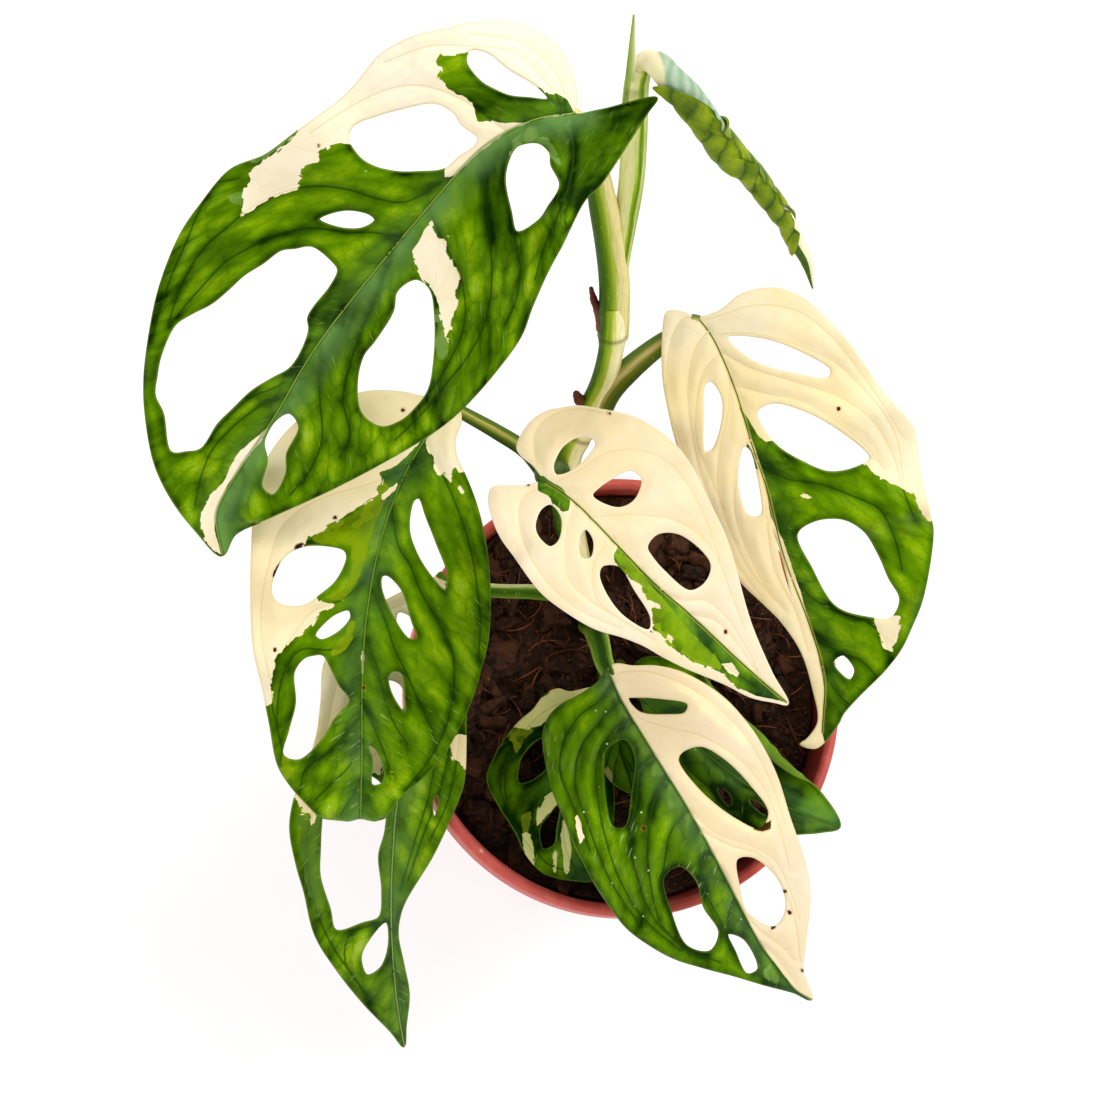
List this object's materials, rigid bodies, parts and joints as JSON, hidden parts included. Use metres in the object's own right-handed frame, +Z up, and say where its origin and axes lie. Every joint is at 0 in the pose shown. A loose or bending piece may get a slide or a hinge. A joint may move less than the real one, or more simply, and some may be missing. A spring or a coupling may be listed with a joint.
{
  "type": "potted variegated monstera",
  "caption": "Potted climbing monstera with large holed leaves in green and cream, a rolled new leaf, and a tapered round plastic pot of bark soil.",
  "frame": {"origin": "centre of the pot's flat base, on the surface it stands on", "axes": "+Z up, +X to the right and +Y to the back, so that the longest leaf hangs out over the left and the stem leans to the back"},
  "size_m": [0.2136, 0.239, 0.2522],
  "materials": {
    "pot_plastic": "satin",
    "potting_mix": "matte",
    "stem_green": "satin",
    "leaf_green": "satin",
    "leaf_cream": "satin"
  },
  "bodies": {
    "root": {"pot": "pot_plastic", "soil": "potting_mix", "stem": "stem_green", "leafA": "leaf_green", "leafB": "leaf_green", "leafC": "leaf_cream", "leafD": "leaf_cream", "leafE": "leaf_green", "leafF": "leaf_green", "leafG": "leaf_green", "leafH": "leaf_green", "leafJ": "leaf_green", "newLeaf": "stem_green"}
  },
  "joints": []
}
